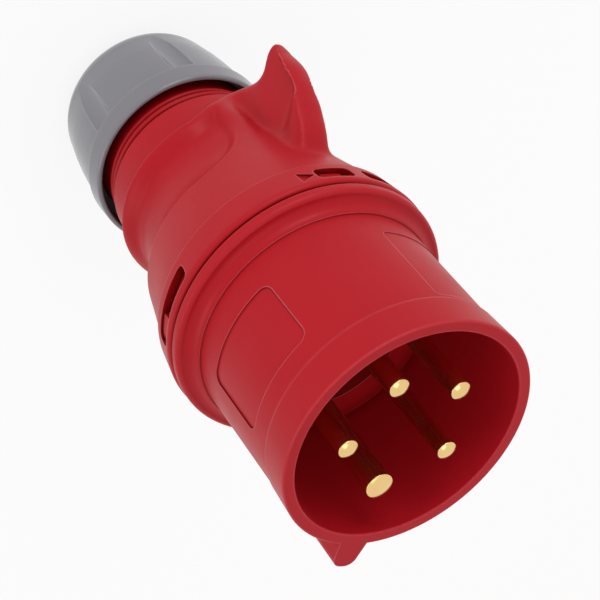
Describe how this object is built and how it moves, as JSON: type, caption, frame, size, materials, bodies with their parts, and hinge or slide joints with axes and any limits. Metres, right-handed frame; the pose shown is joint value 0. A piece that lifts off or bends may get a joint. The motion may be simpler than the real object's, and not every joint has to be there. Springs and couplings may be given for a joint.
{
  "type": "industrial pin and sleeve plug",
  "caption": "Red five-pin industrial pin and sleeve plug, 16 A size, with bayonet-locked rear housing, thumb fin and grey cable gland nut.",
  "frame": {"origin": "centre of the gland nut's rear face, where the cable enters, on the plug's axis", "axes": "+Z along the plug's axis to the pins and the shroud's mouth, +Y to the thumb fin at twelve o'clock, -Y to the key rib and earth pin at six o'clock, +X completes the right-handed frame"},
  "size_m": [0.0724, 0.0824, 0.153],
  "materials": {
    "housing_red": "satin moulded polyamide",
    "carrier_red": "satin moulded polyamide",
    "pin_brass": "turned and polished",
    "screw_steel": "zinc plated",
    "seal_rubber": "moulded rubber",
    "cage_plastic": "moulded polyamide",
    "gland_grey": "satin moulded polyamide"
  },
  "bodies": {
    "rear": {"rear_housing": "housing_red", "housing_gasket": "seal_rubber", "cable_seal": "seal_rubber"},
    "front": {"front_housing": "housing_red", "contact_carrier": "carrier_red", "pin_l1": "pin_brass", "pin_l2": "pin_brass", "pin_l3": "pin_brass", "pin_n": "pin_brass", "pin_pe": "pin_brass", "terminal_screw_l1": "screw_steel", "terminal_screw_l2": "screw_steel", "terminal_screw_l3": "screw_steel", "terminal_screw_n": "screw_steel", "terminal_screw_pe": "screw_steel", "carrier_screw_top": "screw_steel", "carrier_screw_left": "screw_steel", "carrier_screw_right": "screw_steel"},
    "cage": {"clamp_cage": "cage_plastic"},
    "nut": {"gland_nut": "gland_grey"}
  },
  "joints": [
    {"name": "bayonet_twist", "type": "hinge", "parent": "rear", "child": "front", "pos_m": [0, 0, 0.0985], "axis": [0, 0, 1], "range_deg": [-22, 0]},
    {"name": "cage_travel", "type": "slide", "parent": "rear", "child": "cage", "axis": [0, 0, 1], "range_m": [-0.0075, 0]},
    {"name": "nut_turn", "type": "hinge", "parent": "cage", "child": "nut", "pos_m": [0, 0, 0.018], "axis": [0, 0, 1], "range_deg": [-1080, 0]}
  ],
  "couplings": [
    {"joint": "cage_travel", "follows": "nut_turn", "m_per_rad": 0.00039789}
  ]
}
